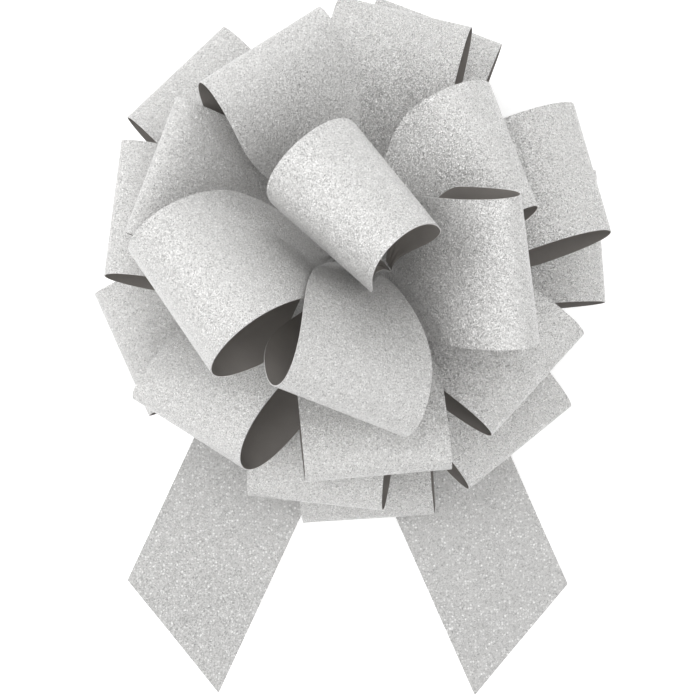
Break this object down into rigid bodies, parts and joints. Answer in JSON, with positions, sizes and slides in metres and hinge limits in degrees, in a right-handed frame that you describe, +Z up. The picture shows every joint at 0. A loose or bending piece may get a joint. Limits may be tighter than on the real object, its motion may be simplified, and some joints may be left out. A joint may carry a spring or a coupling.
{
  "type": "gift bow",
  "caption": "Ready-made pull bow with many wide glitter ribbon loops radiating from a strung centre, and flat tails with slanted ends.",
  "frame": {"origin": "centre of the flat underside of the back knot, on the surface that the bow lies on", "axes": "+Z up along the pull strings towards the crown loop, -Y the way the tails point, +X to the right seen from above with the tails towards the viewer"},
  "size_m": [0.2182, 0.3034, 0.1632],
  "materials": {
    "ribbon": "fine silver glitter outside, smooth matt warm grey inside",
    "string": "narrow flat woven ribbon, tied in knots"
  },
  "bodies": {
    "back": {"back_knot": "string"},
    "core": {"pull_string_a": "string", "pull_string_b": "string", "crown_knot": "string"},
    "tail_left": {"tail_left": "ribbon", "tail_neck_left": "ribbon"},
    "tail_right": {"tail_right": "ribbon", "tail_neck_right": "ribbon"},
    "loop_01": {"neck_01": "ribbon", "loop_01": "ribbon"},
    "loop_02": {"neck_02": "ribbon", "loop_02": "ribbon"},
    "loop_03": {"neck_03": "ribbon", "loop_03": "ribbon"},
    "loop_04": {"neck_04": "ribbon", "loop_04": "ribbon"},
    "loop_05": {"neck_05": "ribbon", "loop_05": "ribbon"},
    "loop_06": {"neck_06": "ribbon", "loop_06": "ribbon"},
    "loop_07": {"neck_07": "ribbon", "loop_07": "ribbon"},
    "loop_08": {"neck_08": "ribbon", "loop_08": "ribbon"},
    "loop_09": {"neck_09": "ribbon", "loop_09": "ribbon"},
    "loop_10": {"neck_10": "ribbon", "loop_10": "ribbon"},
    "loop_11": {"neck_11": "ribbon", "loop_11": "ribbon"},
    "loop_12": {"neck_12": "ribbon", "loop_12": "ribbon"},
    "loop_13": {"neck_13": "ribbon", "loop_13": "ribbon"},
    "loop_14": {"neck_14": "ribbon", "loop_14": "ribbon"},
    "loop_15": {"neck_15": "ribbon", "loop_15": "ribbon"},
    "loop_16": {"neck_16": "ribbon", "loop_16": "ribbon"},
    "loop_17": {"neck_17": "ribbon", "loop_17": "ribbon"},
    "loop_18": {"neck_18": "ribbon", "loop_18": "ribbon"},
    "loop_19": {"neck_19": "ribbon", "loop_19": "ribbon"},
    "loop_20": {"neck_20": "ribbon", "loop_20": "ribbon"}
  },
  "joints": [
    {"name": "head_turn", "type": "hinge", "parent": "back", "child": "core", "pos_m": [0, 0, 0.0022], "axis": [0, 0, 1], "range_deg": [-20, 20]},
    {"name": "tail_left_swing", "type": "hinge", "parent": "back", "child": "tail_left", "pos_m": [0, 0, 0.0025], "axis": [0, 0, 1], "range_deg": [-8, 8]},
    {"name": "tail_right_swing", "type": "hinge", "parent": "back", "child": "tail_right", "pos_m": [0, 0, 0.0036], "axis": [0, 0, 1], "range_deg": [-8, 8]},
    {"name": "loop_01_swivel", "type": "hinge", "parent": "core", "child": "loop_01", "pos_m": [0, 0, 0.007], "axis": [0, 0, 1], "range_deg": [-1.5, 1.5]},
    {"name": "loop_02_swivel", "type": "hinge", "parent": "core", "child": "loop_02", "pos_m": [0, 0, 0.0099], "axis": [0, 0, 1], "range_deg": [-1.5, 1.5]},
    {"name": "loop_03_swivel", "type": "hinge", "parent": "core", "child": "loop_03", "pos_m": [0, 0, 0.0128], "axis": [0, 0, 1], "range_deg": [-1.5, 1.5]},
    {"name": "loop_04_swivel", "type": "hinge", "parent": "core", "child": "loop_04", "pos_m": [0, 0, 0.0157], "axis": [0, 0, 1], "range_deg": [-1.5, 1.5]},
    {"name": "loop_05_swivel", "type": "hinge", "parent": "core", "child": "loop_05", "pos_m": [0, 0, 0.0186], "axis": [0, 0, 1], "range_deg": [-1.5, 1.5]},
    {"name": "loop_06_swivel", "type": "hinge", "parent": "core", "child": "loop_06", "pos_m": [0, 0, 0.0215], "axis": [0, 0, 1], "range_deg": [-1.5, 1.5]},
    {"name": "loop_07_swivel", "type": "hinge", "parent": "core", "child": "loop_07", "pos_m": [0, 0, 0.0244], "axis": [0, 0, 1], "range_deg": [-1.5, 1.5]},
    {"name": "loop_08_swivel", "type": "hinge", "parent": "core", "child": "loop_08", "pos_m": [0, 0, 0.0273], "axis": [0, 0, 1], "range_deg": [-1.5, 1.5]},
    {"name": "loop_09_swivel", "type": "hinge", "parent": "core", "child": "loop_09", "pos_m": [0, 0, 0.0302], "axis": [0, 0, 1], "range_deg": [-1.5, 1.5]},
    {"name": "loop_10_swivel", "type": "hinge", "parent": "core", "child": "loop_10", "pos_m": [0, 0, 0.0331], "axis": [0, 0, 1], "range_deg": [-1.5, 1.5]},
    {"name": "loop_11_swivel", "type": "hinge", "parent": "core", "child": "loop_11", "pos_m": [0, 0, 0.036], "axis": [0, 0, 1], "range_deg": [-1.5, 1.5]},
    {"name": "loop_12_swivel", "type": "hinge", "parent": "core", "child": "loop_12", "pos_m": [0, 0, 0.0389], "axis": [0, 0, 1], "range_deg": [-1.5, 1.5]},
    {"name": "loop_13_swivel", "type": "hinge", "parent": "core", "child": "loop_13", "pos_m": [0, 0, 0.0418], "axis": [0, 0, 1], "range_deg": [-1.5, 1.5]},
    {"name": "loop_14_swivel", "type": "hinge", "parent": "core", "child": "loop_14", "pos_m": [0, 0, 0.0447], "axis": [0, 0, 1], "range_deg": [-1.5, 1.5]},
    {"name": "loop_15_swivel", "type": "hinge", "parent": "core", "child": "loop_15", "pos_m": [0, 0, 0.0476], "axis": [0, 0, 1], "range_deg": [-1.5, 1.5]},
    {"name": "loop_16_swivel", "type": "hinge", "parent": "core", "child": "loop_16", "pos_m": [0, 0, 0.0505], "axis": [0, 0, 1], "range_deg": [-1.5, 1.5]},
    {"name": "loop_17_swivel", "type": "hinge", "parent": "core", "child": "loop_17", "pos_m": [0, 0, 0.0534], "axis": [0, 0, 1], "range_deg": [-1.5, 1.5]},
    {"name": "loop_18_swivel", "type": "hinge", "parent": "core", "child": "loop_18", "pos_m": [0, 0, 0.0563], "axis": [0, 0, 1], "range_deg": [-1.5, 1.5]},
    {"name": "loop_19_swivel", "type": "hinge", "parent": "core", "child": "loop_19", "pos_m": [0, 0, 0.0592], "axis": [0, 0, 1], "range_deg": [-1.5, 1.5]},
    {"name": "loop_20_swivel", "type": "hinge", "parent": "core", "child": "loop_20", "pos_m": [0, 0, 0.084], "axis": [0, 0, 1], "range_deg": [-1.5, 1.5]}
  ]
}
